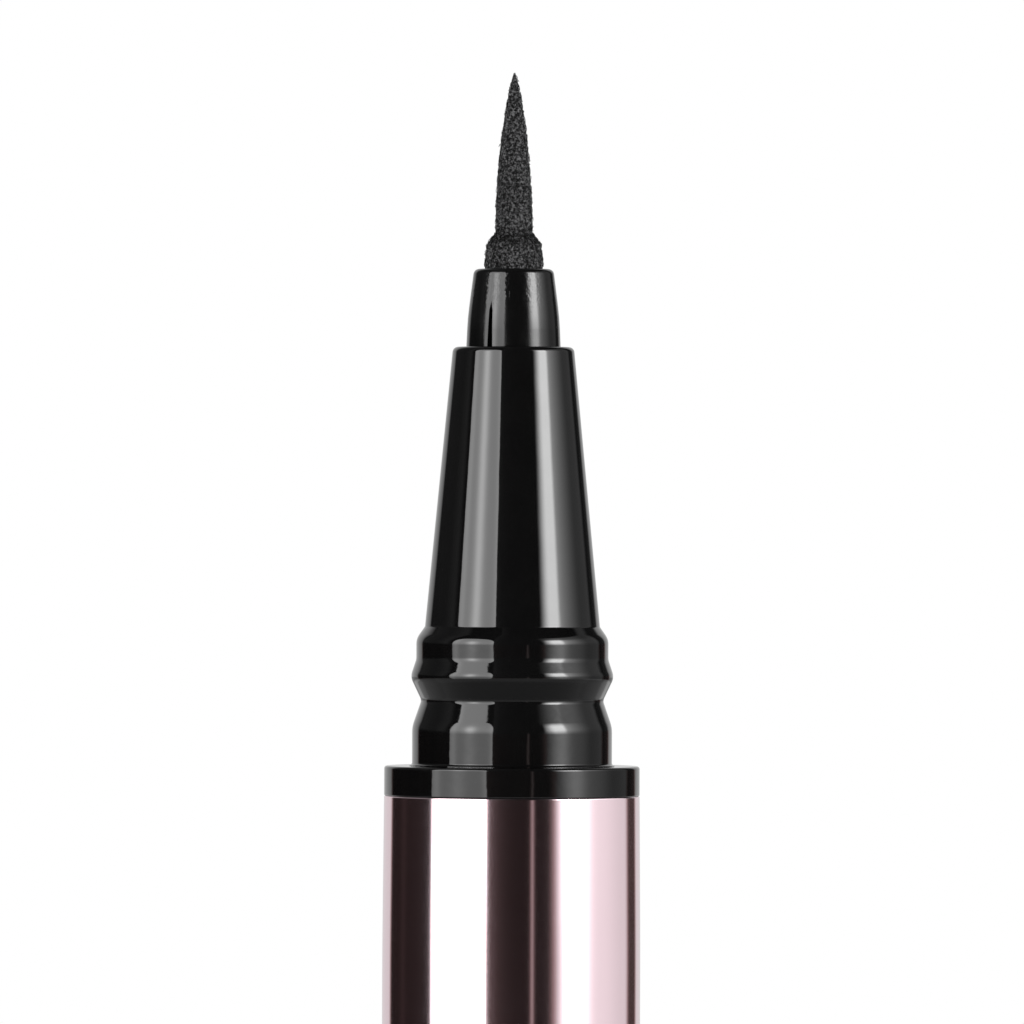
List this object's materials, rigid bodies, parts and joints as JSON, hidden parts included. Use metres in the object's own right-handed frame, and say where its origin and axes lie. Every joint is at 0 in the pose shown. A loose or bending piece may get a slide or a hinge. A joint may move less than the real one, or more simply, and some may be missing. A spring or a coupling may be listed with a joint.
{
  "type": "liquid eyeliner pen",
  "caption": "Slim liquid eyeliner pen, uncapped: a felt nib in a black cone with a ribbed snap neck, on a rose-gold barrel that stands on its posted, sprung cap.",
  "frame": {"origin": "centre of the cap's flat closed end, on which the pen stands", "axes": "+Z along the pen, from the posted cap to the nib; the picture looks along +Y, with +X to the right"},
  "size_m": [0.0112, 0.0112, 0.1519],
  "materials": {
    "black_felt": "matt, grainy inked felt",
    "gloss_black_plastic": "high-gloss moulded black",
    "rose_gold_metal": "mirror-polished, anodised rose gold",
    "tank_plastic": "satin black",
    "milky_plastic": "natural, milky",
    "inked_fibre": "compressed fibre, soaked with ink",
    "seal_rubber": "matt black rubber",
    "steel": "bright stainless steel"
  },
  "bodies": {
    "cap": {"cap_shell": "rose_gold_metal", "cap_liner": "gloss_black_plastic", "cap_spring": "steel"},
    "inner_cap": {"inner_cap": "milky_plastic"},
    "pen": {"nib": "black_felt", "nib_holder": "gloss_black_plastic", "front_section": "gloss_black_plastic", "collar_ring": "gloss_black_plastic", "collector": "milky_plastic", "relay_core": "inked_fibre", "front_seal_ring": "seal_rubber", "ball_stop_cup": "milky_plastic", "ink_tank": "tank_plastic", "barrel_sleeve": "rose_gold_metal", "tail_ring": "gloss_black_plastic", "tail_plug": "gloss_black_plastic", "tail_seal_ring": "seal_rubber"},
    "mixing_ball": {"mixing_ball": "steel"}
  },
  "joints": [
    {"name": "cap_pull_off", "type": "slide", "parent": "cap", "child": "pen", "axis": [0, 0, 1], "range_m": [0, 0.01]},
    {"name": "inner_cap_press", "type": "slide", "parent": "cap", "child": "inner_cap", "axis": [0, 0, -1], "range_m": [0, 0.0016], "stiffness_N_per_m": 250, "springref_m": -0.002, "deforming": ["cap_spring"]},
    {"name": "ball_rattle", "type": "slide", "parent": "pen", "child": "mixing_ball", "axis": [0, 0, 1], "range_m": [0, 0.059]}
  ]
}
